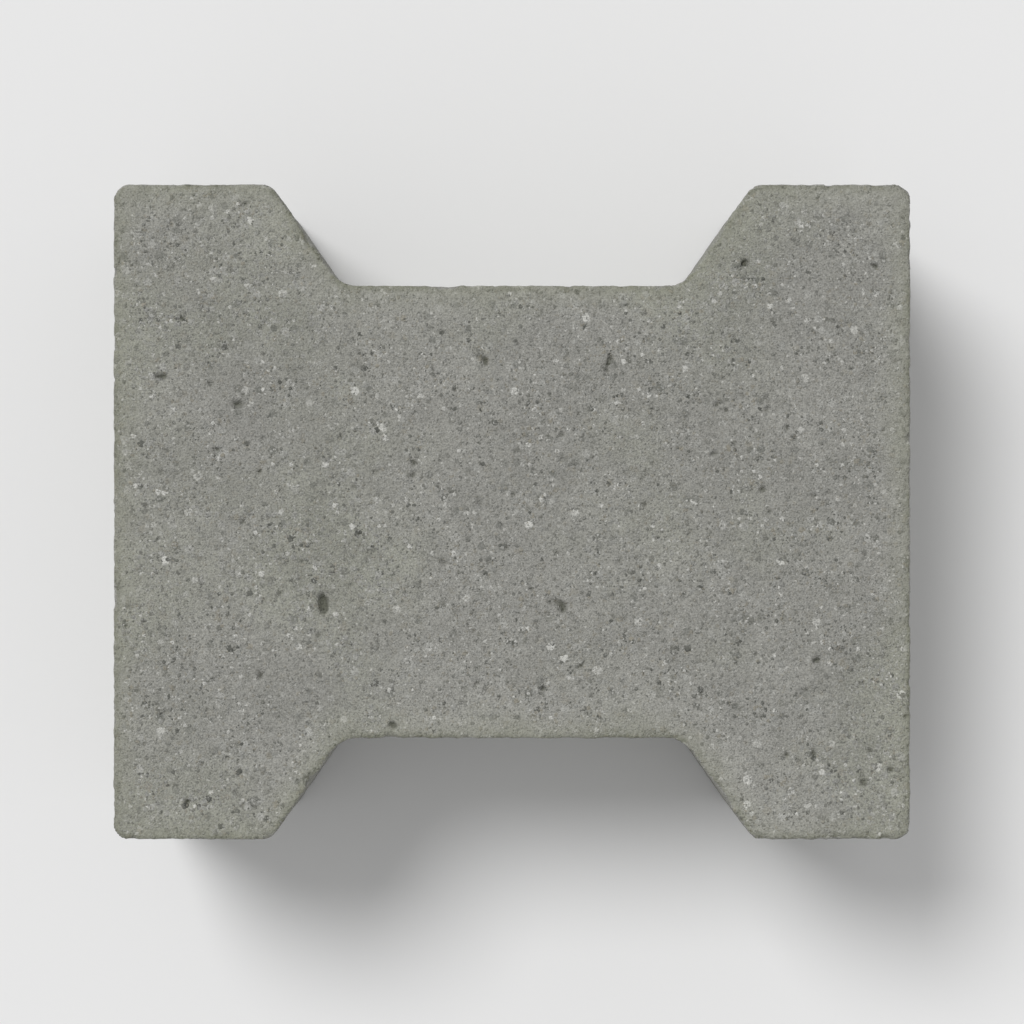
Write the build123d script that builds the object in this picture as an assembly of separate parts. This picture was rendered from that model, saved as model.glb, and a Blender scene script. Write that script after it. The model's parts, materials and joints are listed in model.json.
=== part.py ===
from build123d import *
import os

# Double-T interlocking paving stone, pressed in one piece from unreinforced concrete.
# Seen from above it is a short, thick letter I: two wide heads joined by a narrower waist.
# Two heads of neighbouring stones nest in the waist of each stone in the next row, so all
# plan sizes are set by the line that runs down the middle of the joints.
# Millimetres. X runs along the stone from head to head, Y across it, Z up.
# The origin is the centre of the bed face, on which the stone lies.

# Laying module: the outline measured to the middle of the joints on all sides
module_length = 200.0
module_head_width = 165.0
module_waist_width = 115.0

# Length along X in which the outline steps from the waist width to the head width
slope_run = 17.5

# Open joint left between two stones, filled with sand when laid
joint_width = 3.0

# Height of the stone from bed face to wearing face
stone_height = 80.0

# Corner radii in plan: where the slopes meet the flats, on the joint's middle line,
# and at the four outer corners of the heads, on the stone itself
slope_corner_radius = 6.0
head_corner_radius = 4.0

# Small radius that the press leaves round the edge of the wearing face
arris_radius = 1.0


def module_outline():
    """Face inside the middle line of the joints, with its slope corners rounded.

    The waist's flat is as long as the heads' flats of two neighbouring stones,
    so a row laid half a stone along fills the waists of the row before.
    """
    half_length = module_length / 2
    half_head = module_head_width / 2
    half_waist = module_waist_width / 2
    head_flat = (module_length - 2 * slope_run) / 4
    slope_top = half_length - head_flat
    slope_foot = slope_top - slope_run
    upper_side = [
        (half_length, half_head),
        (slope_top, half_head),
        (slope_foot, half_waist),
        (-slope_foot, half_waist),
        (-slope_top, half_head),
        (-half_length, half_head),
    ]
    lower_side = [(-x, -y) for x, y in upper_side]
    outline = make_face(Polyline(*upper_side, *lower_side, close=True))
    slope_corners = outline.vertices().filter_by(lambda corner: abs(corner.X) < half_length - head_flat / 2)
    return fillet(slope_corners, slope_corner_radius)


def stone_outline():
    """Face of the stone in plan: the module less half a joint all round, with round head corners."""
    outline = offset(module_outline(), amount=-joint_width / 2, kind=Kind.INTERSECTION)
    half_length = (module_length - joint_width) / 2
    head_corners = outline.vertices().filter_by(lambda corner: abs(corner.X) > half_length - head_corner_radius)
    return fillet(head_corners, head_corner_radius)


def paving_stone():
    """The whole stone: its outline raised to full height, with a softened upper edge."""
    block = extrude(stone_outline(), amount=stone_height)
    wearing_face = block.faces().sort_by(Axis.Z)[-1]
    return fillet(wearing_face.edges(), arris_radius)


stone = paving_stone()
os.makedirs("parts", exist_ok=True)
export_step(stone, "parts/paving_stone.step")
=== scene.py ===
"""Studio picture of one interlocking concrete paving stone, seen from straight above.

The stone is cast from its frame, so its outline is the frame's own. It is then given what pressing,
weather and feet leave on such a stone: a slightly broken arris, open pores, sand in the surface,
drag marks down the sides and a coarse bed. All lengths are in metres.
"""

import json
import logging
import math
from dataclasses import dataclass, field
from enum import Enum

import bpy
import numpy as np
from mathutils import Euler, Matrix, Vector

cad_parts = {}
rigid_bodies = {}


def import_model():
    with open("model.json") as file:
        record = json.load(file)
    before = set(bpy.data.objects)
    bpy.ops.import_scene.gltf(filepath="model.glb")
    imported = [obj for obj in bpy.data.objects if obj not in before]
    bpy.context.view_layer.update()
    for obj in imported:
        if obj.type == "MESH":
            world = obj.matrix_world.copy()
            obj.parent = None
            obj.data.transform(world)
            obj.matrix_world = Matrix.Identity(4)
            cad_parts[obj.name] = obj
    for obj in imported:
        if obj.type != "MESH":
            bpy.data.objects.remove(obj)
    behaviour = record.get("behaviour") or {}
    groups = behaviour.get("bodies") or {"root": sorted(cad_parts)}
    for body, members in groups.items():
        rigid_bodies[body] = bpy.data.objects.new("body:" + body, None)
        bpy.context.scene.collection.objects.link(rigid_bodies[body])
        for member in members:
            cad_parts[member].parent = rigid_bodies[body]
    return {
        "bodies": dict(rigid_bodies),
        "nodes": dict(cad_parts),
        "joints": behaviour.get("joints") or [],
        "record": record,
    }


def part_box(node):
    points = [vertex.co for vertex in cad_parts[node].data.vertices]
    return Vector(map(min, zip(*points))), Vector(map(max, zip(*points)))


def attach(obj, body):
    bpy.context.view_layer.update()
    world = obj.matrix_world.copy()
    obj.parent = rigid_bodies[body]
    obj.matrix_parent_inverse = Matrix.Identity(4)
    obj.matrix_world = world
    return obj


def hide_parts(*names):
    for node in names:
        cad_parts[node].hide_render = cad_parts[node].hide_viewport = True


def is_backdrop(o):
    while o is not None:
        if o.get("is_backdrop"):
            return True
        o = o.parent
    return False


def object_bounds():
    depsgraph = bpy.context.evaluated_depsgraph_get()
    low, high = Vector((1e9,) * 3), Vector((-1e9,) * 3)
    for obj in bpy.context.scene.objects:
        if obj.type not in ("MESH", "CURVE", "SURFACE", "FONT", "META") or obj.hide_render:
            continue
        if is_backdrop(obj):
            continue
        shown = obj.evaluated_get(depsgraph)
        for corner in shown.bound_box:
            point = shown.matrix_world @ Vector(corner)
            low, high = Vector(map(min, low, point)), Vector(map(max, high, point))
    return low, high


LOG = logging.getLogger("paving")
MM = 0.001

# A face belongs to the wearing face or the bed when its normal rises or falls by more than this
LEVEL = 0.5
# Keeps a piece of outline of no length from dividing by zero
TINY = 1e-12

Colour = tuple[float, float, float]
Triple = tuple[float, float, float]
Limits = tuple[float, float]


class Zone(Enum):
    """The stone's three kinds of surface, and the worn rim between two of them."""

    WEARING_FACE = "wearing_face"
    PRESSED_SIDE = "pressed_side"
    BED_FACE = "bed_face"
    ARRIS = "arris"


@dataclass(frozen=True)
class Clouds:
    """A cloudy pattern in space, whose share is 1 from grey `full` on and runs out at grey `none`.

    With the two close together near one end of the greys, the pattern is separate spots.
    """

    size: float
    full: float
    none: float
    offset: Triple = (0.0, 0.0, 0.0)
    stretch: Triple = (1.0, 1.0, 1.0)
    turn: Triple = (0.5, 0.35, 0.8)
    octaves: int = 1

    def texture(self, margin: float = 0.0) -> bpy.types.Texture:
        """Makes the pattern, with its share as a ramp from none to full.

        Args:
            margin: how much further out, in grey, the pattern runs out.

        Returns:
            The new texture.
        """
        made = bpy.data.textures.new("clouds", "CLOUDS")
        made.noise_scale = self.size
        made.noise_basis = "IMPROVED_PERLIN"
        made.noise_depth = self.octaves - 1
        made.use_color_ramp = True
        low, high = sorted((self.full, self.none + math.copysign(margin, self.none - self.full)))
        first, last = made.color_ramp.elements
        first.position = low
        last.position = high
        there, away = (1.0, 1.0, 1.0, 1.0), (0.0, 0.0, 0.0, 1.0)
        first.color = there if self.full < self.none else away
        last.color = away if self.full < self.none else there
        return made

    def shares(self, points: np.ndarray, margin: float = 0.0) -> np.ndarray:
        """Reads the pattern at some points.

        Args:
            points: places on the stone, one row each.
            margin: how much further out, in grey, the pattern runs out.

        Returns:
            The share at each point, from 0 to 1.
        """
        made = self.texture(margin)
        turned = (points - np.array(self.offset)) @ np.array(Euler(self.turn).to_matrix())
        local = turned / np.array(self.stretch)
        found = np.array([made.evaluate(Vector(p))[0] for p in local])
        bpy.data.textures.remove(made)
        return found


@dataclass(frozen=True)
class Relief:
    """One kind of unevenness, carved inwards over one zone of the stone."""

    name: str
    zone: Zone
    depth: float
    clouds: Clouds
    holes: bool = False

    def carve(self, piece: bpy.types.Object) -> None:
        """Cuts the relief into a piece with a Displace modifier and applies it.

        Args:
            piece: the mesh object, which has a vertex group named after the zone.
        """
        guide = bpy.data.objects.new(self.name, None)
        guide.location = self.clouds.offset
        guide.rotation_euler = self.clouds.turn
        guide.scale = self.clouds.stretch
        bpy.context.scene.collection.objects.link(guide)
        texture = self.clouds.texture()
        cut = piece.modifiers.new(self.name, "DISPLACE")
        cut.texture = texture
        cut.texture_coords = "OBJECT"
        cut.texture_coords_object = guide
        cut.vertex_group = self.zone.value
        cut.direction = "NORMAL"
        cut.mid_level = 0.0
        cut.strength = -self.depth
        bpy.context.view_layer.update()
        pick(piece)
        bpy.ops.object.modifier_apply(modifier=cut.name)
        bpy.data.objects.remove(guide)
        bpy.data.textures.remove(texture)


def pick(piece: bpy.types.Object) -> None:
    """Selects one object alone and makes it the active one.

    Args:
        piece: the object to work on next.
    """
    bpy.ops.object.select_all(action="DESELECT")
    piece.select_set(True)
    bpy.context.view_layer.objects.active = piece


def read(items: bpy.types.bpy_prop_collection, name: str, width: int) -> np.ndarray:
    """Reads one property of all vertices or faces.

    Args:
        items: the mesh's vertices, faces or normals.
        name: the property's name.
        width: how many numbers it has.

    Returns:
        One row for each item, or one number where the width is 1.
    """
    values = np.zeros(len(items) * width, np.float32)
    items.foreach_get(name, values)
    return values.reshape(-1, width).astype(float) if width > 1 else values.astype(float)


def smooth(values: np.ndarray, low: float, high: float) -> np.ndarray:
    """Eases values from 0 at low to 1 at high.

    Args:
        values: the numbers to ease.
        low: where the result is 0.
        high: where the result is 1.

    Returns:
        The eased shares.
    """
    share = np.clip((values - low) / (high - low), 0.0, 1.0)
    return share * share * (3.0 - 2.0 * share)


@dataclass(frozen=True)
class NodeSheet:
    """Lays shader nodes into one tree, of a material, a world or a group, and links them."""

    tree: bpy.types.NodeTree

    def node(self, kind: str, **settings: object) -> bpy.types.Node:
        """Adds a node and sets its plain properties.

        Args:
            kind: the node's class name without its ShaderNode prefix.
            settings: properties of the node by name.

        Returns:
            The new node.
        """
        made = self.tree.nodes.new("ShaderNode" + kind)
        for name, value in settings.items():
            setattr(made, name, value)
        return made

    def feed(self, socket: bpy.types.NodeSocket, value: object) -> None:
        """Links a socket to another, or sets it to a constant.

        Args:
            socket: the input to feed.
            value: an output socket, or the constant.
        """
        if isinstance(value, bpy.types.NodeSocket):
            self.tree.links.new(value, socket)
        else:
            socket.default_value = value

    def math(self, operation: str, *values: object) -> bpy.types.NodeSocket:
        """Adds a Math node.

        Args:
            operation: what it does, such as ADD.
            values: its inputs, each a socket or a number.

        Returns:
            Its output.
        """
        made = self.node("Math", operation=operation)
        for socket, value in zip(made.inputs, values):
            self.feed(socket, value)
        return made.outputs[0]

    def ease(self, value: object, low: float, high: float, start: float = 0.0,
             end: float = 1.0) -> bpy.types.NodeSocket:
        """Eases a value from start at low to end at high.

        Args:
            value: the socket to ease.
            low: where the result is start.
            high: where the result is end.
            start: the result at low.
            end: the result at high.

        Returns:
            The eased value's socket.
        """
        made = self.node("MapRange", interpolation_type="SMOOTHSTEP")
        for name, item in zip(("Value", "From Min", "From Max", "To Min", "To Max"),
                              (value, low, high, start, end)):
            self.feed(made.inputs[name], item)
        return made.outputs["Result"]

    def blend(self, share: object, under: object, over: object) -> bpy.types.NodeSocket:
        """Lays one colour over another. A Mix node's colours are its inputs 6 and 7 and its output 2.

        Args:
            share: how much of the upper colour shows, from 0 to 1.
            under: the lower colour.
            over: the upper colour.

        Returns:
            The mixed colour's socket.
        """
        made = self.node("Mix", data_type="RGBA", blend_type="MIX")
        self.feed(made.inputs[0], share)
        self.feed(made.inputs[6], under)
        self.feed(made.inputs[7], over)
        return made.outputs[2]

    def scaled(self, colour: object, factor: object) -> bpy.types.NodeSocket:
        """Lightens or darkens a colour.

        Args:
            colour: the colour, or any vector.
            factor: how much it is multiplied by.

        Returns:
            The new colour's socket.
        """
        made = self.node("VectorMath", operation="SCALE")
        self.feed(made.inputs[0], colour)
        self.feed(made.inputs["Scale"], factor)
        return made.outputs[0]

    def noise(self, vector: bpy.types.NodeSocket, scale: object, detail: float,
              roughness: float) -> bpy.types.Node:
        """Adds a Noise Texture.

        Args:
            vector: where it is read.
            scale: how many features there are to the metre.
            detail: its octaves.
            roughness: how strong the fine octaves are.

        Returns:
            The node, whose first output is its value.
        """
        made = self.node("TexNoise")
        self.feed(made.inputs["Vector"], vector)
        self.feed(made.inputs["Scale"], scale)
        self.feed(made.inputs["Detail"], detail)
        self.feed(made.inputs["Roughness"], roughness)
        return made

    def cells(self, vector: bpy.types.NodeSocket, scale: object) -> bpy.types.Node:
        """Adds a Voronoi Texture.

        Args:
            vector: where it is read.
            scale: how many cells there are to the metre.

        Returns:
            The node, for its Distance and Color.
        """
        made = self.node("TexVoronoi")
        self.feed(made.inputs["Vector"], vector)
        self.feed(made.inputs["Scale"], scale)
        return made

    def group(self, tree: bpy.types.NodeTree, **values: object) -> bpy.types.Node:
        """Places a node group.

        Args:
            tree: the group.
            values: its inputs by name, with _ for a space.

        Returns:
            The group's node.
        """
        made = self.node("Group", node_tree=tree)
        for name, value in values.items():
            self.feed(made.inputs[name.replace("_", " ")], value)
        return made


def open_group(name: str, inputs: dict[str, str], outputs: dict[str, str]) -> tuple[
        bpy.types.NodeTree, NodeSheet, bpy.types.Node, bpy.types.Node]:
    """Starts a shader node group.

    Args:
        name: what the group is called.
        inputs: each input's name and its kind of socket.
        outputs: each output's name and its kind of socket.

    Returns:
        The tree, a sheet on it, its input node and its output node.
    """
    tree = bpy.data.node_groups.new(name, "ShaderNodeTree")
    for label, kind in inputs.items():
        tree.interface.new_socket(label, in_out="INPUT", socket_type="NodeSocket" + kind)
    for label, kind in outputs.items():
        tree.interface.new_socket(label, in_out="OUTPUT", socket_type="NodeSocket" + kind)
    return tree, NodeSheet(tree), tree.nodes.new("NodeGroupInput"), tree.nodes.new("NodeGroupOutput")


@dataclass(frozen=True)
class Grading:
    """One size of sand in the mix. Its radii and its rise are in shares of the cell that holds a grain.

    The fineness is how much smaller the cells are than the usual grain, the share is how many of them
    hold one, and the cover is how fully a grain hides the cement.
    """

    fineness: float
    share: float
    cover: float
    least: float
    most: float
    rise: float
    tints: tuple[tuple[float, Colour], ...]


SAND_TINTS = (
    (0.00, (0.097, 0.099, 0.088)),
    (0.10, (0.172, 0.172, 0.153)),
    (0.26, (0.251, 0.238, 0.198)),
    (0.36, (0.265, 0.266, 0.247)),
    (0.68, (0.340, 0.340, 0.316)),
    (0.93, (0.515, 0.513, 0.482)),
)
PEBBLE_TINTS = (
    (0.00, (0.132, 0.135, 0.120)),
    (0.18, (0.198, 0.198, 0.175)),
    (0.42, (0.256, 0.247, 0.212)),
    (0.58, (0.309, 0.310, 0.289)),
    (0.82, (0.380, 0.380, 0.356)),
    (0.95, (0.610, 0.608, 0.571)),
)


@dataclass(frozen=True)
class SandBed:
    """Sand packed in cement: grains of several sizes, each with a colour and a rise of its own.

    The warp says how ragged the grains are and the wobble how finely. The brink is the step from a
    grain to the cement round it, and the dome is how it rises, both in shares of its cell.
    """

    warp: float = 0.42
    wobble: float = 2.7
    brink: Limits = (-0.03, 0.06)
    dome: Limits = (-0.05, 0.35)
    gradings: tuple[Grading, ...] = (
        Grading(0.45, 0.50, 0.62, 0.16, 0.50, 0.0, PEBBLE_TINTS),
        Grading(0.80, 0.75, 0.82, 0.20, 0.60, 0.60, SAND_TINTS),
        Grading(1.90, 0.85, 0.66, 0.30, 0.66, 0.40, SAND_TINTS),
    )

    def build(self) -> bpy.types.NodeTree:
        """Builds the group: from place, cement, grains per metre and wear to colour, rise and grit.

        Returns:
            The group's tree.
        """
        tree, sheet, start, end = open_group(
            "sand bed",
            {"Vector": "Vector", "Cement": "Color", "Grains per Metre": "Float", "Wear": "Float"},
            {"Colour": "Color", "Rise": "Float", "Grit": "Float"})
        density = start.outputs["Grains per Metre"]
        wear = start.outputs["Wear"]
        ragged = self.ragged(sheet, start.outputs["Vector"], density)
        colour, rise, grit = start.outputs["Cement"], 0.0, 0.0
        for grading in self.gradings:
            cell = sheet.cells(ragged, sheet.math("MULTIPLY", density, grading.fineness))
            lots = sheet.node("SeparateColor")
            sheet.feed(lots.inputs[0], cell.outputs["Color"])
            there = sheet.math("LESS_THAN", lots.outputs[0], grading.share)
            radius = sheet.math("MULTIPLY_ADD", lots.outputs[2], grading.most - grading.least, grading.least)
            inward = sheet.math("SUBTRACT", radius, cell.outputs["Distance"])
            body = sheet.math("MULTIPLY", there, sheet.ease(inward, *self.brink))
            shown = sheet.math("MULTIPLY", body, sheet.math("MULTIPLY", wear, grading.cover))
            colour = sheet.blend(shown, colour, self.tint(sheet, lots.outputs[1], grading.tints))
            grit = sheet.math("MAXIMUM", grit, body)
            if grading.rise:
                dome = sheet.math("MULTIPLY", there, sheet.ease(inward, *self.dome))
                rise = sheet.math("MULTIPLY_ADD", dome, grading.rise, rise)
        sheet.feed(end.inputs["Colour"], colour)
        sheet.feed(end.inputs["Rise"], rise)
        sheet.feed(end.inputs["Grit"], grit)
        return tree

    def ragged(self, sheet: NodeSheet, place: bpy.types.NodeSocket,
               density: bpy.types.NodeSocket) -> bpy.types.NodeSocket:
        """Shakes a place about, so that what is read there has ragged outlines.

        Args:
            sheet: the group's sheet.
            place: where to start.
            density: grains to the metre.

        Returns:
            The shaken place's socket.
        """
        wobble = sheet.noise(place, sheet.math("MULTIPLY", density, self.wobble), 0.0, 0.5)
        centred = sheet.node("VectorMath", operation="SUBTRACT")
        sheet.feed(centred.inputs[0], wobble.outputs["Color"])
        sheet.feed(centred.inputs[1], (0.5, 0.5, 0.5))
        shift = sheet.scaled(centred.outputs[0], sheet.math("DIVIDE", self.warp, density))
        moved = sheet.node("VectorMath", operation="ADD")
        sheet.feed(moved.inputs[0], place)
        sheet.feed(moved.inputs[1], shift)
        return moved.outputs[0]

    def tint(self, sheet: NodeSheet, lot: bpy.types.NodeSocket,
             tints: tuple[tuple[float, Colour], ...]) -> bpy.types.NodeSocket:
        """Turns a random number into one of the sand's colours.

        Args:
            sheet: the group's sheet.
            lot: the number, from 0 to 1.
            tints: the colours, each with the number it starts at.

        Returns:
            The colour's socket.
        """
        made = sheet.node("ValToRGB")
        ramp = made.color_ramp
        ramp.interpolation = "CONSTANT"
        while len(ramp.elements) < len(tints):
            ramp.elements.new(1.0)
        for stop, (place, colour) in zip(ramp.elements, tints):
            stop.position = place
            stop.color = (*colour, 1.0)
        sheet.feed(made.inputs[0], lot)
        return made.outputs[0]


@dataclass(frozen=True)
class Mottling:
    """Soft lighter and darker patches, from where the mix was wetter or drier."""

    octaves: float = 3.0
    roughness: float = 0.6
    greys: Limits = (0.25, 0.75)

    def build(self) -> bpy.types.NodeTree:
        """Builds the group: from place and patches per metre to a shade from -1 to 1.

        Returns:
            The group's tree.
        """
        tree, sheet, start, end = open_group(
            "cement mottling", {"Vector": "Vector", "Patches per Metre": "Float"}, {"Shade": "Float"})
        value = sheet.noise(start.outputs["Vector"], start.outputs["Patches per Metre"],
                            self.octaves, self.roughness)
        sheet.feed(end.inputs["Shade"], sheet.ease(value.outputs[0], *self.greys, -1.0, 1.0))
        return tree


@dataclass(frozen=True)
class Weathering:
    """What the open air does to the wearing face near its rim: it bleaches and takes on film and moss.

    Each fade runs from the rim inwards, in shares of the stone's edge_reach.
    """

    patches_per_metre: float = 110.0
    octaves: float = 3.0
    roughness: float = 0.62
    raggedness: float = 0.5
    bleaching: float = 0.09
    bleach_fade: Limits = (0.1, 0.95)
    film: Colour = (0.256, 0.260, 0.198)
    film_cover: float = 0.30
    film_fade: Limits = (0.0, 0.55)
    moss: Colour = (0.132, 0.139, 0.084)
    moss_cover: float = 0.5
    moss_fade: Limits = (0.04, 0.19)
    moss_greys: Limits = (-0.08, 0.14)
    moss_least: float = 0.15

    def lay(self, sheet: NodeSheet, place: bpy.types.NodeSocket,
            colour: bpy.types.NodeSocket) -> bpy.types.NodeSocket:
        """Weathers the concrete towards the rim.

        Args:
            sheet: the material's sheet.
            place: Object coordinates.
            colour: the concrete's colour.

        Returns:
            The weathered colour.
        """
        edge = sheet.node("Attribute", attribute_name="edge_distance").outputs["Fac"]
        cloudy = sheet.noise(place, self.patches_per_metre, self.octaves, self.roughness)
        stray = sheet.math("SUBTRACT", cloudy.outputs[0], 0.5)
        ragged = sheet.math("MULTIPLY_ADD", stray, self.raggedness, edge)
        colour = sheet.scaled(colour, sheet.ease(ragged, *self.bleach_fade, 1.0 + self.bleaching, 1.0))
        filmed = sheet.ease(ragged, *self.film_fade, self.film_cover, 0.0)
        colour = sheet.blend(filmed, colour, (*self.film, 1.0))
        growth = sheet.ease(stray, *self.moss_greys, self.moss_least, 1.0)
        near = sheet.ease(ragged, *self.moss_fade, self.moss_cover, 0.0)
        return sheet.blend(sheet.math("MULTIPLY", growth, near), colour, (*self.moss, 1.0))


@dataclass(frozen=True)
class ConcreteFinish:
    """How one zone's concrete looks. Sizes of grains and patches are their usual widths.

    The bareness says how far the cement has gone from the sand, and the streaks how far the mould
    drew the patches out down the side.
    """

    name: str
    cement: Colour
    grain_size: float
    patch_size: float
    patch_depth: float
    rise: float
    bareness: float = 1.0
    streaks: float = 0.0
    weathering: Weathering | None = None
    small_patches: float = 5.3
    small_patch_depth: float = 0.9
    streak_pull: float = 0.9
    drift_size: float = 55.0 * MM
    drift_shades: Limits = (-0.7, 0.7)
    drift: tuple[Colour, Colour] = ((1.002, 0.994, 1.020), (0.998, 1.006, 0.974))
    skin_size: float = 9.0 * MM
    skin_shades: Limits = (-0.8, 0.8)
    skin_wear: Limits = (0.55, 1.25)
    # A fine cloudy speckle of the cement that also rises in the bump; its darker low spots paint shade into
    # the fine hollows
    dust_and_shade_size: float = 0.42 * MM
    dust_and_shade_octaves: float = 1.0
    dust_and_shade_roughness: float = 0.6
    dust_and_shade_greys: Limits = (0.2, 0.8)
    dust_and_shade_depth: float = 0.26
    dust_and_shade_rise: float = 0.9
    # Soil in the holes, darker the deeper they go; it also paints the shade down in them
    soil_and_shade: Colour = (0.075, 0.078, 0.055)
    soil_and_shade_cover: float = 0.75
    soil_and_shade_fade: Limits = (0.1, 0.9)
    cement_roughness: float = 0.93
    sand_roughness: float = 0.8
    gloss: float = 0.25

    def build(self, sand_bed: bpy.types.NodeTree, mottling: bpy.types.NodeTree) -> bpy.types.Material:
        """Makes the material.

        Args:
            sand_bed: the shared group of the sand.
            mottling: the shared group of the cement's patches.

        Returns:
            The material.
        """
        material = bpy.data.materials.new(self.name)
        material.use_nodes = True
        sheet = NodeSheet(material.node_tree)
        surface = material.node_tree.nodes["Principled BSDF"]
        place = sheet.node("TexCoord").outputs["Object"]
        dust_and_shade = sheet.noise(place, 1.0 / self.dust_and_shade_size, self.dust_and_shade_octaves, self.dust_and_shade_roughness).outputs[0]
        skin = sheet.group(mottling, Vector=place, Patches_per_Metre=1.0 / self.skin_size)
        least, most = (wear * self.bareness for wear in self.skin_wear)
        wear = sheet.ease(skin.outputs["Shade"], *self.skin_shades, least, most)
        sand = sheet.group(sand_bed, Vector=place, Cement=self.patchy(sheet, mottling, place),
                           Grains_per_Metre=1.0 / self.grain_size, Wear=wear)
        # Darker where the fine noise sinks the bump: the cement's own speckle, and painted shade in its
        # hollows
        colour = sheet.scaled(sand.outputs["Colour"], sheet.ease(
            dust_and_shade, *self.dust_and_shade_greys, 1.0 - self.dust_and_shade_depth, 1.0 + self.dust_and_shade_depth))
        if self.weathering:
            colour = self.weathering.lay(sheet, place, colour)
        # Darkens the holes by their depth: soil in them, and painted shade in the hollows
        hollow = sheet.node("Attribute", attribute_name="hollow").outputs["Fac"]
        soiled_and_shaded = sheet.ease(hollow, *self.soil_and_shade_fade, 0.0, self.soil_and_shade_cover)
        sheet.feed(surface.inputs["Base Color"], sheet.blend(soiled_and_shaded, colour, (*self.soil_and_shade, 1.0)))
        sheet.feed(surface.inputs["Roughness"], sheet.ease(
            sand.outputs["Grit"], 0.0, 1.0, self.cement_roughness, self.sand_roughness))
        surface.inputs["Specular IOR Level"].default_value = self.gloss
        bump = sheet.node("Bump")
        bump.inputs["Distance"].default_value = self.rise
        height = sheet.math("MULTIPLY_ADD", dust_and_shade, self.dust_and_shade_rise, sand.outputs["Rise"])
        sheet.feed(bump.inputs["Height"], height)
        sheet.feed(surface.inputs["Normal"], bump.outputs[0])
        return material

    def patchy(self, sheet: NodeSheet, mottling: bpy.types.NodeTree,
               place: bpy.types.NodeSocket) -> bpy.types.NodeSocket:
        """Gives the cement its wide and small patches and its slow drift between two tones.

        Args:
            sheet: the material's sheet.
            mottling: the shared group of the cement's patches.
            place: Object coordinates.

        Returns:
            The cement's colour.
        """
        drawn = sheet.node("Mapping")
        sheet.feed(drawn.inputs["Vector"], place)
        drawn.inputs["Scale"].default_value = (1.0, 1.0, 1.0 - self.streak_pull * self.streaks)
        wide = sheet.group(mottling, Vector=drawn.outputs[0], Patches_per_Metre=1.0 / self.patch_size)
        small = sheet.group(mottling, Vector=drawn.outputs[0],
                            Patches_per_Metre=self.small_patches / self.patch_size)
        small_depth = self.small_patch_depth * self.patch_depth
        shade = sheet.math("MULTIPLY_ADD", wide.outputs[0], self.patch_depth,
                           sheet.math("MULTIPLY_ADD", small.outputs[0], small_depth, 1.0))
        drift = sheet.group(mottling, Vector=place, Patches_per_Metre=1.0 / self.drift_size)
        cool, warm = ((*(c * t for c, t in zip(self.cement, tone)), 1.0) for tone in self.drift)
        cement = sheet.blend(sheet.ease(drift.outputs[0], *self.drift_shades), cool, warm)
        return sheet.scaled(cement, shade)


# In the order of the stone's material slots: wearing face, pressed sides, bed
FINISHES = (
    ConcreteFinish("worn_concrete", (0.275, 0.275, 0.246), 1.35 * MM, 38 * MM, 0.08, 0.30 * MM,
                   weathering=Weathering()),
    ConcreteFinish("pressed_concrete", (0.272, 0.272, 0.246), 1.35 * MM, 26 * MM, 0.09, 0.22 * MM,
                   bareness=0.5, streaks=1.0),
    ConcreteFinish("bed_concrete", (0.272, 0.272, 0.246), 1.8 * MM, 30 * MM, 0.09, 0.35 * MM,
                   bareness=0.65),
)


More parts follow.
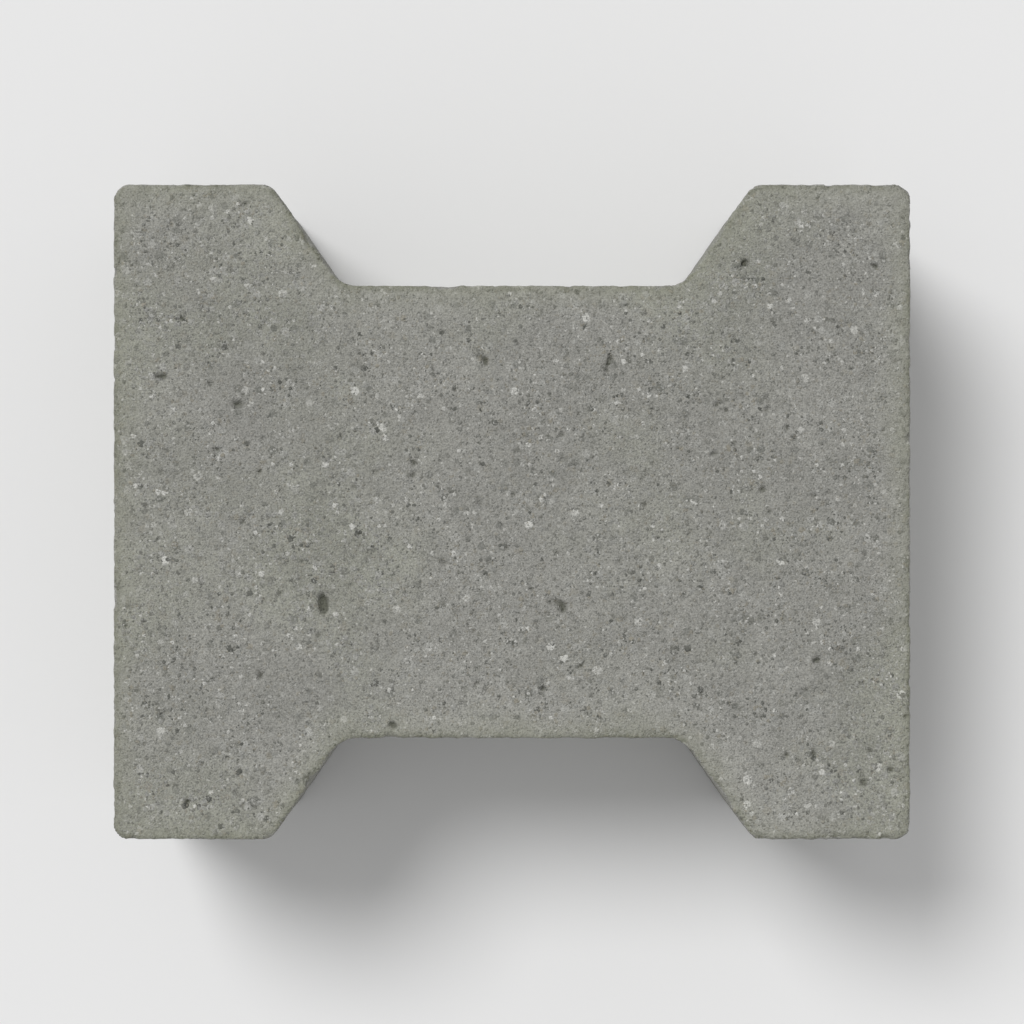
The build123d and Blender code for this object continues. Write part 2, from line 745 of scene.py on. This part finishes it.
@dataclass
class PavingStone:
    """The stone: cast in the frame's outline, pressed, worn and dressed in its concrete.

    The first widths are those of the mesh's faces, from the cage that is snapped on to the frame to
    the finest ones, which lie along the arris and where holes come.
    """

    node: str = "paving_stone"
    name: str = "stone"
    cage_width: float = 3.5 * MM
    side_width: float = 1.75 * MM
    face_width: float = 0.875 * MM
    bend_width: float = 0.875 * MM
    detail_width: float = 0.4375 * MM
    refinings: int = 3
    too_wide: float = 1.35
    hole_margin: float = 0.025
    merge_gap: float = 0.01 * MM
    bend_step: float = 2.0 * MM
    bend_reach: float = 0.2 * MM
    bed_reach: float = 2.5 * MM
    bed_lean: float = 0.3
    bed_flat: float = 0.9
    bed_arris: float = 0.8 * MM
    bed_arris_steps: int = 3
    arris_band: float = 1.6 * MM
    face_fade: Limits = (0.6, 0.95)
    side_fade: Limits = (0.25, 0.8)
    rim_fade: Limits = (1.0 * MM, 4.0 * MM)
    rim_share: float = 0.25
    crumbling_fade: Limits = (0.5 * MM, 2.6 * MM)
    sound_share: float = 0.3
    chip_reach: float = 3.2 * MM
    chip_core: float = 0.8
    chip_pull: float = 0.6
    chip_passes: int = 60
    weight_steps: int = 20
    edge_reach: float = 16.0 * MM
    # Hole depth at which the soil and the painted shade in a hole are full
    soil_and_shade_depth: float = 1.5 * MM
    reliefs: tuple[Relief, ...] = (
        Relief("slump", Zone.WEARING_FACE, 0.25 * MM, Clouds(30 * MM, 0.7, 0.3)),
        Relief("sandy_face", Zone.WEARING_FACE, 0.32 * MM,
               Clouds(2.0 * MM, 0.68, 0.32, (0.31, 0.17, 0.05), octaves=2)),
        Relief("pits", Zone.WEARING_FACE, 1.6 * MM,
               Clouds(10 * MM, 0.80, 0.745, (0.66, 0.22, 0.88), octaves=2), holes=True),
        Relief("pores", Zone.WEARING_FACE, 1.1 * MM,
               Clouds(4.2 * MM, 0.80, 0.725, (0.17, 0.03, 0.31), octaves=2), holes=True),
        Relief("pinholes", Zone.WEARING_FACE, 0.6 * MM,
               Clouds(2.0 * MM, 0.865, 0.805, (0.61, 0.13, 0.27)), holes=True),
        Relief("crumbled_arris", Zone.ARRIS, 0.6 * MM,
               Clouds(2.6 * MM, 0.68, 0.36, (0.21, 0.43, 0.17), octaves=3)),
        Relief("drag_marks", Zone.PRESSED_SIDE, 0.26 * MM,
               Clouds(2.4 * MM, 0.66, 0.34, (0.13, 0.37, 0.07), stretch=(1.0, 1.0, 14.0),
                      turn=(0.0, 0.0, 0.8), octaves=2)),
        Relief("sandy_side", Zone.PRESSED_SIDE, 0.25 * MM,
               Clouds(3.2 * MM, 0.66, 0.34, (0.71, 0.27, 0.15), octaves=2)),
        Relief("side_voids", Zone.PRESSED_SIDE, 1.7 * MM,
               Clouds(6.0 * MM, 0.79, 0.69, (0.41, 0.53, 0.27), octaves=3), holes=True),
        Relief("coarse_bed", Zone.BED_FACE, 1.0 * MM,
               Clouds(7.0 * MM, 0.66, 0.34, (0.81, 0.63, 0.07), octaves=3)),
    )
    chips: Clouds = Clouds(6.5 * MM, 0.67, 0.62, (0.51, 0.33, 0.27), octaves=2)
    worn_stretches: Clouds = Clouds(13 * MM, 0.60, 0.42, (0.91, 0.73, 0.57), octaves=2)
    top: float = field(init=False, default=0.0)
    rim: np.ndarray | None = field(init=False, default=None)
    bends: np.ndarray | None = field(init=False, default=None)

    def cast(self, frame: dict) -> bpy.types.Object:
        """Casts the plain stone from a merged copy of the frame's node.


        Returns:
            The stone as an even mesh of squares on the frame's surface.
        """
        self.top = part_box(self.node)[1].z
        mould = self.copy_of(frame["nodes"][self.node], "mould")
        stone = self.copy_of(mould, self.name)
        self.soften_bed_rim(mould)
        pick(stone)
        cage = stone.modifiers.new("cage", "REMESH")
        cage.mode = "VOXEL"
        cage.voxel_size = self.cage_width
        bpy.ops.object.modifier_apply(modifier=cage.name)
        self.snap(stone, mould)
        for _ in range(self.refinings):
            self.refine(stone)
            self.snap(stone, mould)
        bpy.data.objects.remove(mould)
        return stone

    def copy_of(self, source: bpy.types.Object, name: str) -> bpy.types.Object:
        """Copies an object's mesh into a new object and merges its loose triangles.

        Args:
            source: the object to copy.
            name: the new object's name.

        Returns:
            The new object, at the origin.
        """
        copy = bpy.data.objects.new(name, source.data.copy())
        copy.data.name = name
        copy.data.materials.clear()
        bpy.context.scene.collection.objects.link(copy)
        pick(copy)
        bpy.ops.object.mode_set(mode="EDIT")
        bpy.ops.mesh.select_all(action="SELECT")
        bpy.ops.mesh.remove_doubles(threshold=self.merge_gap)
        bpy.ops.mesh.customdata_custom_splitnormals_clear()
        bpy.ops.mesh.normals_make_consistent(inside=False)
        bpy.ops.object.mode_set(mode="OBJECT")
        return copy

    def soften_bed_rim(self, mould: bpy.types.Object) -> None:
        """Takes the knife edge off round the bed, and keeps the rim's outline.

        Args:
            mould: the merged copy of the frame's node.
        """
        pick(mould)
        points = read(mould.data.vertices, "co", 3)
        ends = np.zeros(len(mould.data.edges) * 2, np.int32)
        mould.data.edges.foreach_get("vertices", ends)
        ends = ends.reshape(-1, 2)
        normals = read(mould.data.polygons, "normal", 3)
        down, side = set(), set()
        for face, normal in zip(mould.data.polygons, normals):
            kind = down if normal[2] < -self.bed_flat else side
            kind.update(tuple(sorted(key)) for key in face.edge_keys)
        shared = down & side
        rim = np.array([tuple(sorted(edge)) in shared for edge in ends.tolist()])
        self.rim = points[ends[rim]][:, :, :2]
        self.bends = self.rim[np.linalg.norm(self.rim[:, 1] - self.rim[:, 0], axis=1) < self.bend_step]
        bpy.context.tool_settings.mesh_select_mode = (False, True, False)
        mould.data.vertices.foreach_set("select", np.zeros(len(points), bool))
        mould.data.polygons.foreach_set("select", np.zeros(len(mould.data.polygons), bool))
        mould.data.edges.foreach_set("select", rim)
        bpy.ops.object.mode_set(mode="EDIT")
        bpy.ops.mesh.bevel(offset=self.bed_arris, segments=self.bed_arris_steps, affect="EDGES")
        bpy.ops.object.mode_set(mode="OBJECT")

    def from_rim(self, points: np.ndarray, rim: np.ndarray) -> np.ndarray:
        """Measures how far points lie from pieces of the stone's outline, in plan.

        Args:
            points: places on the stone, one row each.
            rim: the pieces of the outline, each with its two ends.

        Returns:
            The distance of each.
        """
        start, end = rim[:, 0], rim[:, 1]
        along = end - start
        length = np.maximum((along ** 2).sum(1), TINY)
        nearest = np.full(len(points), np.inf)
        for origin, run, square in zip(start, along, length):
            share = np.clip(((points[:, :2] - origin) @ run) / square, 0.0, 1.0)
            gap = points[:, :2] - origin - share[:, None] * run
            nearest = np.minimum(nearest, (gap ** 2).sum(1))
        return np.sqrt(nearest)

    def from_arris(self, points: np.ndarray) -> np.ndarray:
        """Measures how far points lie from the rim of the wearing face.

        Args:
            points: places on the stone, one row each.

        Returns:
            The distance of each.
        """
        return np.hypot(self.from_rim(points, self.rim), self.top - points[:, 2])

    def wanted_width(self, centres: np.ndarray, normals: np.ndarray) -> np.ndarray:
        """Says how wide a face should be at each place.

        Args:
            centres: the middle of each face.
            normals: the direction of each face.

        Returns:
            The wanted width of each face.
        """
        rises = normals[:, 2]
        reach = np.where(rises < -self.bed_lean, self.bed_reach, self.bend_reach)
        bending = self.from_rim(centres, self.bends) < reach
        width = np.where(bending, self.bend_width, self.side_width)
        width[rises > LEVEL] = self.face_width
        for relief in self.reliefs:
            if relief.holes:
                here = rises > LEVEL if relief.zone is Zone.WEARING_FACE else abs(rises) < LEVEL
                bitten = np.zeros(len(centres), bool)
                bitten[here] = relief.clouds.shares(centres[here], self.hole_margin) > 0.0
                width[bitten] = self.detail_width
        width[self.from_arris(centres) < self.arris_band] = self.detail_width
        return width

    def refine(self, stone: bpy.types.Object) -> None:
        """Halves each face that is wider than it should be.

        Args:
            stone: the stone.
        """
        faces = stone.data.polygons
        centres, normals = read(faces, "center", 3), read(faces, "normal", 3)
        width = np.sqrt(read(faces, "area", 1))
        wide = width > self.too_wide * self.wanted_width(centres, normals)
        pick(stone)
        bpy.context.tool_settings.mesh_select_mode = (False, False, True)
        stone.data.vertices.foreach_set("select", np.zeros(len(stone.data.vertices), bool))
        stone.data.edges.foreach_set("select", np.zeros(len(stone.data.edges), bool))
        faces.foreach_set("select", wide)
        bpy.ops.object.mode_set(mode="EDIT")
        bpy.ops.mesh.subdivide(number_cuts=1, ngon=False, quadcorner="INNERVERT")
        bpy.ops.object.mode_set(mode="OBJECT")

    def snap(self, stone: bpy.types.Object, mould: bpy.types.Object) -> None:
        """Lays the stone's vertices on the mould's surface.

        Args:
            stone: the stone.
            mould: the surface to lie on.
        """
        pick(stone)
        wrap = stone.modifiers.new("snap", "SHRINKWRAP")
        wrap.target = mould
        wrap.wrap_method = "NEAREST_SURFACEPOINT"
        bpy.ops.object.modifier_apply(modifier=wrap.name)

    def mark_zones(self, stone: bpy.types.Object) -> np.ndarray:
        """Gives the stone a weight for each zone, and each face its zone's material slot.

        Args:
            stone: the smooth stone.

        Returns:
            The number of each face's material slot.
        """
        points = read(stone.data.vertices, "co", 3)
        facing = read(stone.data.vertex_normals, "vector", 3)[:, 2]
        upright = 1.0 - smooth(abs(facing), *self.side_fade)
        weights = {
            Zone.WEARING_FACE: smooth(facing, *self.face_fade),
            Zone.PRESSED_SIDE: upright * self.clear_of_rims(points[:, 2]),
            Zone.BED_FACE: smooth(-facing, *self.face_fade),
            Zone.ARRIS: self.crumbling(points),
        }
        for zone, share in weights.items():
            self.weigh(stone, zone.value, share)
        facing = read(stone.data.polygons, "normal", 3)[:, 2]
        return np.where(facing > LEVEL, 0, np.where(facing < -LEVEL, 2, 1)).astype(np.int32)

    def crumbling(self, points: np.ndarray) -> np.ndarray:
        """Says how far the arris has crumbled: in stretches, with sounder ones between them.

        Args:
            points: places on the stone, one row each.

        Returns:
            The share of the full crumbling at each point.
        """
        near = 1.0 - smooth(self.from_arris(points), *self.crumbling_fade)
        here = np.flatnonzero(near)
        near[here] *= self.sound_share + (1.0 - self.sound_share) * self.worn_stretches.shares(points[here])
        return near

    def clear_of_rims(self, heights: np.ndarray) -> np.ndarray:
        """Keeps the deep marks of the sides off the rims above and below.

        Args:
            heights: how high each point lies.

        Returns:
            The share of a mark's depth that is left at each point.
        """
        clear = smooth(np.minimum(heights, self.top - heights), *self.rim_fade)
        return self.rim_share + (1.0 - self.rim_share) * clear

    def weigh(self, stone: bpy.types.Object, name: str, shares: np.ndarray) -> None:
        """Writes a vertex group, rounded to equal steps.

        Args:
            stone: the stone.
            name: the group's name.
            shares: the weight of each vertex, from 0 to 1.
        """
        group = stone.vertex_groups.new(name=name)
        steps = np.round(shares * self.weight_steps).astype(int)
        for step in range(1, self.weight_steps + 1):
            group.add(np.flatnonzero(steps == step).tolist(), step / self.weight_steps, "REPLACE")

    def break_arris(self, stone: bpy.types.Object) -> None:
        """Breaks chips out of the arris: where they lie, the mesh is drawn tight across it.

        Args:
            stone: the stone, before its reliefs.
        """
        points = read(stone.data.vertices, "co", 3)
        near = 1.0 - smooth(self.from_arris(points), self.chip_core * self.chip_reach, self.chip_reach)
        here = np.flatnonzero(near)
        near[here] *= self.chips.shares(points[here])
        self.weigh(stone, "chips", near)
        pick(stone)
        tight = stone.modifiers.new("chips", "SMOOTH")
        tight.factor = self.chip_pull
        tight.iterations = self.chip_passes
        tight.vertex_group = "chips"
        bpy.ops.object.modifier_apply(modifier=tight.name)

    def wear(self, stone: bpy.types.Object) -> None:
        """Carves every relief and notes how deep the holes have gone in.

        Args:
            stone: the stone with its zones.
        """
        depth = np.zeros(len(stone.data.vertices))
        points = read(stone.data.vertices, "co", 3)
        edge = np.clip(self.from_rim(points, self.rim) / self.edge_reach, 0.0, 1.0)
        for relief in self.reliefs:
            before = read(stone.data.vertices, "co", 3)
            relief.carve(stone)
            if relief.holes:
                depth += np.linalg.norm(read(stone.data.vertices, "co", 3) - before, axis=1)
        for name, values in (("edge_distance", edge), ("hollow", np.clip(depth / self.soil_and_shade_depth, 0, 1))):
            layer = stone.data.attributes.new(name, "FLOAT", "POINT")
            layer.data.foreach_set("value", values.astype(np.float32))

    def dress(self, stone: bpy.types.Object, slots: np.ndarray) -> None:
        """Gives each zone its concrete.

        Args:
            stone: the finished mesh.
            slots: the number of each face's material slot.
        """
        sand_bed, mottling = SandBed().build(), Mottling().build()
        for finish in FINISHES:
            stone.data.materials.append(finish.build(sand_bed, mottling))
        stone.data.polygons.foreach_set("material_index", slots)
        pick(stone)
        bpy.ops.object.shade_smooth()

    def build(self, frame: dict) -> bpy.types.Object:
        """Makes the whole stone and ties it to the frame.


        Returns:
            The stone.
        """
        stone = self.cast(frame)
        slots = self.mark_zones(stone)
        self.break_arris(stone)
        self.wear(stone)
        self.dress(stone, slots)
        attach(stone, "root")
        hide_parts(self.node)
        return stone


@dataclass
class Studio:
    """A pale floor, soft light from above and a camera that looks straight down.

    The key light's angle is how wide it looks, its height is over the floor and its side is where it
    stands round the stone, all in degrees. The stone's share is how much of the picture it fills.
    """

    floor_width: float = 12.0
    floor_colour: Colour = (0.80, 0.80, 0.80)
    floor_roughness: float = 0.9
    floor_gloss: float = 0.1
    wall_colour: Colour = (0.80, 0.80, 0.80)
    sky: Colour = (1.0, 1.0, 1.0)
    sky_strength: float = 0.5
    key_place: Triple = (-0.5, 0.5, 1.0)
    key_strength: float = 1.95
    key_angle: float = 24.0
    key_height: float = 56.0
    key_side: float = 130.0
    lens: float = 100.0
    sensor: float = 36.0
    stone_share: float = 0.78
    clipping: Limits = (0.01, 50.0)

    def lay_floor(self) -> None:
        """Lays the floor under the stone."""
        bpy.ops.object.select_all(action="DESELECT")
        bpy.ops.mesh.primitive_plane_add(size=self.floor_width, location=(0.0, 0.0, 0.0))
        floor = bpy.context.active_object
        floor.name = "floor"
        material = bpy.data.materials.new("pale_floor")
        material.use_nodes = True
        surface = material.node_tree.nodes["Principled BSDF"]
        surface.inputs["Base Color"].default_value = (*self.floor_colour, 1.0)
        surface.inputs["Roughness"].default_value = self.floor_roughness
        surface.inputs["Specular IOR Level"].default_value = self.floor_gloss
        floor.data.materials.append(material)
        floor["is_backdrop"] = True

    def light(self) -> None:
        """Hangs the soft key light and sets the even light of the room, whose walls look like the floor."""
        world = bpy.data.worlds.new("room")
        bpy.context.scene.world = world
        world.use_nodes = True
        sheet = NodeSheet(world.node_tree)
        room = world.node_tree.nodes["Background"]
        room.inputs["Color"].default_value = (*self.sky, 1.0)
        room.inputs["Strength"].default_value = self.sky_strength
        wall = sheet.node("Background")
        wall.inputs["Color"].default_value = (*self.wall_colour, 1.0)
        shown = sheet.node("MixShader")
        path = sheet.node("LightPath").outputs
        direct = sheet.math("MAXIMUM", path["Is Camera Ray"], path["Is Glossy Ray"])
        sheet.feed(shown.inputs[0], sheet.math("MAXIMUM", direct, path["Is Transmission Ray"]))
        sheet.feed(shown.inputs[1], room.outputs[0])
        sheet.feed(shown.inputs[2], wall.outputs[0])
        sheet.feed(world.node_tree.nodes["World Output"].inputs["Surface"], shown.outputs[0])
        bpy.ops.object.light_add(type="SUN", location=self.key_place)
        key = bpy.context.active_object
        key.name = "key"
        key.data.energy = self.key_strength
        key.data.angle = math.radians(self.key_angle)
        key.rotation_euler = (math.radians(90.0 - self.key_height), 0.0, math.radians(self.key_side + 90.0))

    def aim(self, low: Vector, high: Vector) -> None:
        """Sets the camera straight above the stone.

        Args:
            low: the stone's lowest corner.
            high: the stone's highest corner.
        """
        middle = (low + high) / 2
        width = (high.x - low.x) / self.stone_share
        above = high.z + width * self.lens / self.sensor
        bpy.ops.object.camera_add(location=(middle.x, middle.y, above), rotation=(0.0, 0.0, 0.0))
        camera = bpy.context.active_object
        camera.name = "overhead"
        camera.data.lens = self.lens
        camera.data.sensor_width = self.sensor
        camera.data.clip_start, camera.data.clip_end = self.clipping
        bpy.context.scene.camera = camera

    def build(self, low: Vector, high: Vector) -> None:
        """Makes the floor, the light and the camera.

        Args:
            low: the stone's lowest corner.
            high: the stone's highest corner.
        """
        self.lay_floor()
        self.light()
        self.aim(low, high)
        bpy.context.scene.view_settings.view_transform = "Standard"


def main() -> None:
    """Loads the frame, builds the stone and the studio, and logs the stone's faces and triangles."""
    logging.basicConfig(level=logging.INFO, format="%(name)s: %(message)s")
    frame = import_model()
    cad_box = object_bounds()
    stone = PavingStone().build(frame)
    triangles = sum(len(face.vertices) - 2 for face in stone.data.polygons)
    LOG.info("%s: %d faces, %d triangles", stone.name, len(stone.data.polygons), triangles)
    Studio().build(*cad_box)


if __name__ == "__main__":
    main()
